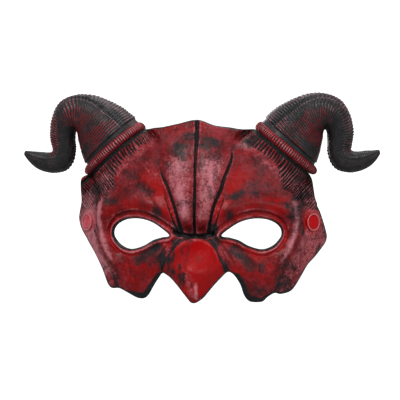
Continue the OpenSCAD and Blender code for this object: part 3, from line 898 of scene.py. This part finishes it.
STRAP_RISE = math.radians(28)
HINGE_X = SNAP_X - END_DEPTH * math.sin(SNAP_TURN)
HINGE_Y = SNAP_Y + END_DEPTH * math.cos(SNAP_TURN)
END_DIR = np.array([math.cos(SNAP_TURN), math.sin(SNAP_TURN) / math.cos(STRAP_RISE)])
END_PATH = [*(np.array([HINGE_X, 0]) + k * END_DIR for k in (-7, -3.5, 0, 3.5, 6.5)),
            (80.5, 9.6), (80.5, 12.6), (80.3, 16)]
BAND_PATH = [(80, 20), (78.4, 28), (74.5, 38), (66.8, 50.5), (55, 63), (39, 74.5), (20, 81.3), (0, 83.5)]
END_BACK = 16.0


def in_loop(path):
    """Points of the strap's own plane, tipped up about the hinge line."""
    p = np.asarray(path, float)
    return columns(p[:, 0], HINGE_Y + p[:, 1] * math.cos(STRAP_RISE), SNAP_Z + p[:, 1] * math.sin(STRAP_RISE))


def width_at(d, x, q):
    """Direction of the elastic's width: in the snap's seat at the ends, square to the loop further back."""
    loop_up = np.array([0, -math.sin(STRAP_RISE), math.cos(STRAP_RISE)])
    e = columns(np.where(x >= 0, 1, -1) * END_DIR[0], END_DIR[1] * math.cos(STRAP_RISE),
                END_DIR[1] * math.sin(STRAP_RISE))
    up = np.array([0, 0, 1.0])
    seat_up = unit(up - e * (e @ up)[:, None] / (e * e).sum(axis=1, keepdims=True))
    t = fade(6, 16, q)[:, None]
    u = seat_up * (1 - t) + loop_up * t
    return unit(u - d * (u * d).sum(axis=1, keepdims=True))


def strap_line():
    """The elastic's middle line: a cut end, the fold at one snap, round the head, the other fold and end."""
    end = smooth_line(END_PATH, 12)
    half = smooth_line([*END_PATH, *BAND_PATH], 16)
    inner = end + left_of(np.gradient(end, axis=0)) * STRAP_T / 2
    shift = STRAP_T / 2 * (1 - fade(END_BACK, END_BACK + 5, half[:, 1]))
    outer = half - left_of(np.gradient(half, axis=0)) * shift[:, None]
    first, t0 = end[0], unit(end[1] - end[0])
    n0 = np.array([-t0[1], t0[0]])
    fold = [first + n0 * STRAP_T / 2 * math.cos(a) - t0 * STRAP_T / 2 * math.sin(a)
            for a in np.linspace(0.35, math.pi - 0.35, 5)]
    keep = inner[:, 1] < END_BACK
    right = np.vstack([inner[keep][::-1], fold, outer])
    left = (right * (-1, 1))[::-1]
    return even_line(np.vstack([right, left[1:]]), 0.7)


WEAVE_PITCH = 2.1


def build_strap():
    path = strap_line()
    centre = in_loop(path)
    d = unit(np.gradient(centre, axis=0))
    u = width_at(d, path[:, 0], path[:, 1])
    v = np.cross(d, u)
    run = run_along(centre)
    ribs = 12
    across_n = ribs * 5
    c = np.linspace(-1, 1, across_n + 1)
    rib = 0.5 - 0.5 * np.cos(c * ribs * math.pi + math.pi * (ribs % 2))
    edge = np.sqrt(np.clip(1 - np.clip((np.abs(c) - 0.93) / 0.07, 0, 1) ** 2, 0.02, 1))
    shift = np.floor((c + 1) / 2 * ribs) * math.pi
    vertices, share = [], []
    for k in range(len(centre)):
        weave = 0.5 + 0.5 * np.cos(2 * math.pi * run[k] / WEAVE_PITCH + shift)
        thick = (STRAP_T / 2 - 0.12 + 0.08 * rib + 0.04 * weave) * edge
        for sign in (1, -1):
            row = centre[k] + u[k] * (c[:, None] * STRAP_W / 2) + v[k] * (sign * thick)[:, None]
            vertices.append(row[::sign])
            share.append(columns(rib, weave)[::sign])
    vertices, share = np.vstack(vertices), np.vstack(share)
    n = 2 * (across_n + 1)
    faces = [f[:1] + f[:0:-1] for f in tube_faces(len(centre), n)]
    last = (len(centre) - 1) * n
    for i in range(across_n):
        faces.append((i, i + 1, n - 2 - i, n - 1 - i))
        faces.append((last + i + 1, last + i, last + n - 1 - i, last + n - 2 - i))
    obj = link("strap_elastic", vertices, faces, "elastic")
    paint(obj, rib=share[:, 0], weave=share[:, 1])
    start, end = (0, (HINGE_Y + 2) * MM, SNAP_Z * MM), (0, (HINGE_Y + 14.5) * MM, SNAP_Z * MM)
    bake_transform(obj)
    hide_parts("strap_band", "strap_end_right", "strap_end_left")
    return obj, start, end


STITCH_RINGS, STITCH_SIDES = 7, 8


def build_stitches():
    """Two rows of stitches through each folded end, seen on both its faces."""
    vertices, faces = [], []
    tail = (STITCH_RINGS - 1) * STITCH_SIDES
    stitch = [f[:1] + f[:0:-1] for f in tube_faces(STITCH_RINGS, STITCH_SIDES)]
    stitch += [tuple(range(STITCH_SIDES)), tuple(range(tail + STITCH_SIDES - 1, tail - 1, -1))]
    end_line = smooth_line(END_PATH, 12)
    for side in (1, -1):
        for q_at in (9.5, 13.5):
            k = int(np.argmin(np.abs(end_line[:, 1] - q_at)))
            path = end_line[k - 1:k + 2] * (side, 1)
            centre = in_loop(path)
            d = unit(centre[2] - centre[0])
            u = width_at(d[None, :], path[1:2, 0], path[1:2, 1])[0]
            v = np.cross(d, u)
            for face in (1, -1):
                for m in np.linspace(-0.82, 0.82, 7):
                    mid = centre[1] + u * (m * STRAP_W / 2) + v * face * (STRAP_T + 0.02)
                    base = len(vertices)
                    for t in np.linspace(-1, 1, STITCH_RINGS):
                        r = 0.2 * math.sqrt(max(0.1, 1 - t * t * 0.9))
                        bow = mid + u * (t * 0.62) + v * face * 0.12 * (1 - t * t)
                        for a in np.linspace(0, 2 * math.pi, STITCH_SIDES, endpoint=False):
                            vertices.append(bow + v * face * r * math.sin(a) + d * r * math.cos(a))
                    turned = face * side > 0
                    faces += [tuple(base + i for i in (f if turned else f[::-1])) for f in stitch]
    obj = link("strap_stitches", vertices, faces, "elastic")
    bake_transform(obj)
    return obj


# ---------------------------------------------------------------- materials

BLACK_FOAM = (0.0115, 0.0115, 0.0130)


class Finish:
    """A procedural material, with short names for the nodes it is built from."""

    def __init__(self, name):
        self.material = bpy.data.materials.new(name)
        self.material.use_nodes = True
        self.tree = self.material.node_tree
        self.shader = self.tree.nodes["Principled BSDF"]
        self.place = self.node("ShaderNodeTexCoord").outputs["Object"]

    def node(self, kind, inputs=(), **settings):
        made = self.tree.nodes.new(kind)
        for key, value in settings.items():
            setattr(made, key, value)
        for key, value in dict(inputs).items():
            self.put(made.inputs[key], value)
        return made

    def put(self, socket, value):
        if isinstance(value, bpy.types.NodeSocket):
            self.tree.links.new(value, socket)
        elif isinstance(value, tuple) and len(value) == 3 and socket.type == "RGBA":
            socket.default_value = (*value, 1)
        else:
            socket.default_value = value

    def mask(self, name):
        return self.node("ShaderNodeAttribute", attribute_name=name).outputs["Fac"]

    def noise(self, size_mm, detail=3.0, rough=0.5, stretch=(1, 1, 1)):
        scale = [s / (size_mm * MM) for s in stretch]
        mapping = self.node("ShaderNodeMapping", {"Scale": scale, "Vector": self.place})
        made = self.node("ShaderNodeTexNoise", {"Vector": mapping.outputs["Vector"], "Scale": 1.0,
                                                "Detail": detail, "Roughness": rough})
        return made.outputs[0]

    def calc(self, operation, a, b=0.0, clamp=False):
        return self.node("ShaderNodeMath", {0: a, 1: b}, operation=operation, use_clamp=clamp).outputs[0]

    def total(self, *terms):
        """The sum of (value, weight) pairs."""
        result = 0.0
        for value, weight in terms:
            result = self.calc("ADD", self.calc("MULTIPLY", value, weight), result)
        return result

    def step(self, value, low, high):
        return self.node("ShaderNodeMapRange", {"Value": value, "From Min": low, "From Max": high},
                         interpolation_type="SMOOTHSTEP").outputs["Result"]

    def spread(self, value, low, high):
        """Maps 0 to 1 on to low to high."""
        ends = {"Value": value, "To Min": low, "To Max": high}
        return self.node("ShaderNodeMapRange", ends).outputs["Result"]

    def mix(self, share, a, b):
        made = self.node("ShaderNodeMix", data_type="RGBA")
        colours = [s for s in made.inputs if s.type == "RGBA"]
        self.put(made.inputs[0], share)
        self.put(colours[0], a)
        self.put(colours[1], b)
        return [s for s in made.outputs if s.type == "RGBA"][0]

    def surface(self, colour, roughness, height=None, depth_mm=0.1, **constants):
        self.put(self.shader.inputs["Base Color"], colour)
        self.put(self.shader.inputs["Roughness"], roughness)
        for name, value in constants.items():
            self.put(self.shader.inputs[name.replace("_", " ")], value)
        if height is not None:
            bump = self.node("ShaderNodeBump", {"Strength": 1.0, "Distance": depth_mm * MM, "Height": height})
            self.put(self.shader.inputs["Normal"], bump.outputs["Normal"])
        return self.material


def painted_foam(name, foam, deep, bright, pale_tone, cover, roughness, gloss):
    """Black foam with a dry-brushed coat of red, and over what stands out a paler tone that is partly pale
    dry brushing and partly painted highlight.
    """
    f = Finish(name)
    patch = f.noise(16, 3, 0.5)
    blot = f.noise(4.5, 5, 0.68)
    speck = f.noise(0.85, 3, 0.6)
    grit = f.noise(0.35, 2, 0.5)
    coat, ink, wash, pale, glow = (f.mask(m) for m in ("coat", "ink", "wash", "pale", "glow"))
    fleck = f.noise(1.9, 4, 0.65)
    richness = f.total((patch, 1.1), (blot, 0.8), (fleck, 0.5), (glow, 0.9), (wash, -0.85))
    red = f.mix(f.step(richness, 0.75, 1.9), deep, bright)
    milk = f.step(f.total((f.noise(10, 4, 0.62), 1.0), (fleck, 0.6), (glow, -0.3)), 0.66, 1.0)
    red = f.mix(f.calc("MULTIPLY", milk, 0.5), red, (0.34, 0.040, 0.056))
    paint_share = f.total((coat, 1.6), (ink, -2.0), (wash, -0.8), (speck, 0.9),
                          (fleck, 1.0), (blot, 1.4), (patch, 0.8), (glow, 0.5))
    covered = f.step(paint_share, cover, cover + 0.85)
    bare = f.mix(f.step(blot, 0.38, 0.66), foam, tuple(1.8 * c for c in foam))
    unpainted = f.mix(f.step(fleck, 0.35, 0.65), (0.020, 0.0195, 0.021), (0.040, 0.038, 0.040))
    bare = f.mix(f.step(coat, 0.0, -0.6), bare, unpainted)
    tone = f.mix(covered, bare, red)
    # The pale tone, partly dry brushing and partly painted highlight, goes where the pale mask and the noise
    # add up
    wear_and_highlight_share = f.total((pale, 1.0), (wash, -0.2), (speck, 1.0), (fleck, 1.0), (blot, 1.0), (patch, 0.4))
    wear_and_highlight = f.step(wear_and_highlight_share, 1.92, 3.1)
    pale_and_highlit = f.calc("MULTIPLY", wear_and_highlight, f.spread(covered, 0.35, 1.0))
    tone = f.mix(pale_and_highlit, tone, pale_tone)
    height = f.total((covered, 0.35), (speck, 0.6), (grit, 0.5), (blot, 0.9))
    shine = f.total((f.spread(covered, roughness + 0.10, roughness), 1.0), (blot, 0.18), (speck, 0.08))
    return f.surface(tone, f.calc("SUBTRACT", shine, 0.1), height, 0.16, Specular_IOR_Level=0.16,
                     Coat_Weight=gloss, Coat_Roughness=0.27)


def bare_foam():
    f = Finish("bare_foam")
    pores = f.node("ShaderNodeTexVoronoi", {"Vector": f.place, "Scale": 900.0})
    cloud = f.noise(6, 4, 0.6)
    tone = f.mix(f.step(cloud, 0.35, 0.7), BLACK_FOAM, (0.022, 0.021, 0.022))
    height = f.total((pores.outputs["Distance"], 0.8), (cloud, 0.5))
    return f.surface(tone, f.spread(cloud, 0.62, 0.8), height, 0.12, Specular_IOR_Level=0.15)


def snap_plastic(name, deep, bright):
    """Red moulded snap cap with paint worn to a pale line round its rim."""
    f = Finish(name)
    cloud, speck = f.noise(3, 4, 0.6), f.noise(0.5, 3, 0.6)
    red = f.mix(f.step(cloud, 0.3, 0.7), deep, bright)
    rim = f.step(f.total((f.mask("pale"), 1.0), (speck, 0.5)), 0.35, 1.1)
    tone = f.mix(f.calc("MULTIPLY", rim, 0.75), red, (0.72, 0.30, 0.32))
    tone = f.mix(f.calc("MULTIPLY", f.mask("ink"), 0.8, clamp=True), tone, (0.05, 0.008, 0.01))
    height = f.total((cloud, 0.6), (speck, 0.4))
    return f.surface(tone, f.spread(cloud, 0.26, 0.42), height, 0.05, Specular_IOR_Level=0.18)


def socket_plastic():
    f = Finish("snap_black")
    cloud, grain = f.noise(2.5, 4, 0.6), f.noise(0.25, 2, 0.5)
    tone = f.mix(f.step(cloud, 0.3, 0.75), (0.012, 0.012, 0.013), (0.03, 0.03, 0.031))
    return f.surface(tone, f.spread(cloud, 0.35, 0.55), f.total((grain, 1.0), (cloud, 0.4)), 0.03)


def knitted_elastic():
    """Black knitted elastic: dull rubber cords under a dusty polyester knit."""
    f = Finish("knitted_elastic")
    rib, weave = f.mask("rib"), f.mask("weave")
    fuzz, dust = f.noise(0.22, 3, 0.6), f.noise(9, 3, 0.5)
    up = f.total((rib, 0.55), (weave, 0.45), (fuzz, 0.35))
    tone = f.mix(f.step(up, 0.35, 1.15), (0.006, 0.006, 0.007), (0.040, 0.039, 0.042))
    tone = f.mix(f.calc("MULTIPLY", f.step(dust, 0.45, 0.8), 0.35), tone, (0.055, 0.052, 0.052))
    return f.surface(tone, f.spread(fuzz, 0.72, 0.9), f.total((weave, 0.5), (fuzz, 1.0)), 0.12,
                     Sheen_Weight=0.25, Sheen_Roughness=0.5, Specular_IOR_Level=0.25)


def thread():
    f = Finish("thread")
    twist = f.noise(0.18, 2, 0.5, stretch=(1, 1, 3))
    tone = f.mix(f.step(twist, 0.3, 0.7), (0.012, 0.012, 0.014), (0.065, 0.063, 0.066))
    return f.surface(tone, f.spread(twist, 0.5, 0.7), twist, 0.06, Sheen_Weight=0.2)


def dress(obj, material):
    obj.data.materials.clear()
    obj.data.materials.append(material)


# ---------------------------------------------------------------- light and backdrop


def make_backdrop():
    """A pale floor and a pale surround, which the camera sees but which throw no light on the mask."""
    floor, reach, segments = -0.16, 7.0, 64
    angles = np.linspace(0, 2 * math.pi, segments, endpoint=False)
    ring = [(reach * math.cos(a), reach * math.sin(a), floor) for a in angles]
    wall = [(x, y, h) for h in (floor, 6.0) for x, y, _ in ring]
    sides = [(i, (i + 1) % segments, (i + 1) % segments + segments, i + segments) for i in range(segments)]
    for name, vertices, faces, glow in [("floor", ring, [tuple(range(segments))], 0.85),
                                        ("surround", wall, sides, 1.0)]:
        mesh = bpy.data.meshes.new(name)
        mesh.from_pydata(vertices, [], faces)
        obj = bpy.data.objects.new(name, mesh)
        bpy.context.scene.collection.objects.link(obj)
        f = Finish(f"{name}_paper")
        grain = f.noise(60, 3, 0.5)
        tone = f.mix(grain, (0.90, 0.90, 0.90), (0.93, 0.93, 0.93))
        dress(obj, f.surface(tone, 0.9, Specular_IOR_Level=0.0, Emission_Color=(1.0, 1.0, 1.0, 1.0),
                             Emission_Strength=glow))
        obj.visible_diffuse = obj.visible_glossy = obj.visible_shadow = False


def make_light(name, at, power, width):
    light = bpy.data.lights.new(name, "AREA")
    light.energy, light.size = power, width
    obj = bpy.data.objects.new(name, light)
    bpy.context.scene.collection.objects.link(obj)
    obj.location = at
    obj.rotation_mode = "QUATERNION"
    obj.rotation_quaternion = (LOOK_AT - Vector(at)).to_track_quat("-Z", "Y")


def light_up():
    make_light("key", (-0.35, -1.15, 1.25), 15, 0.7)
    make_light("fill", (1.1, -1.0, 0.5), 5, 0.9)
    make_light("top", (0.25, 0.45, 1.3), 6, 0.8)
    make_light("behind", (-0.5, 1.25, 0.35), 7, 0.9)
    world = bpy.data.worlds.new("studio")
    bpy.context.scene.world = world
    world.use_nodes = True
    world.node_tree.nodes["Background"].inputs["Color"].default_value = (1, 1, 1, 1)
    world.node_tree.nodes["Background"].inputs["Strength"].default_value = 0.32
    bpy.context.scene.view_settings.view_transform = "Standard"


# ---------------------------------------------------------------- the whole mask

SKIN_PAINT = painted_foam("skin_paint", BLACK_FOAM, (0.12, 0.004, 0.006), (0.42, 0.0008, 0.0018),
                          (0.70, 0.24, 0.28), 2.8, 0.38, 0.14)
HORN_PAINT = painted_foam("horn_paint", (0.0170, 0.0158, 0.0175), (0.11, 0.009, 0.013), (0.28, 0.007, 0.011),
                          (0.38, 0.20, 0.23), 2.28, 0.42, 0.35)
COLLAR_PAINT = painted_foam("collar_paint", BLACK_FOAM, (0.22, 0.009, 0.014), (0.44, 0.004, 0.008),
                            (0.66, 0.26, 0.30), 2.0, 0.40, 0.25)

# The left cap is given a pinker, paler red than the right one
SNAP_RED = {1: snap_plastic("snap_red", (0.58, 0.001, 0.004), (0.68, 0.003, 0.008)),
            -1: snap_plastic("snap_pink_red", (0.66, 0.05, 0.08), (0.78, 0.16, 0.20))}

dress(build_skin(), SKIN_PAINT)
for side in SIDES:
    dress(build_horn(side), HORN_PAINT)
    dress(build_collar(side), COLLAR_PAINT)
    cap, socket = build_snap(side)
    dress(cap, SNAP_RED[side])
    dress(socket, socket_plastic())
strap, strap_start, strap_end = build_strap()
dress(strap, knitted_elastic())
dress(build_stitches(), thread())
for name in ("horn_plug_right", "horn_plug_left"):
    dress(bpy.data.objects[name], bare_foam())

make_backdrop()
light_up()
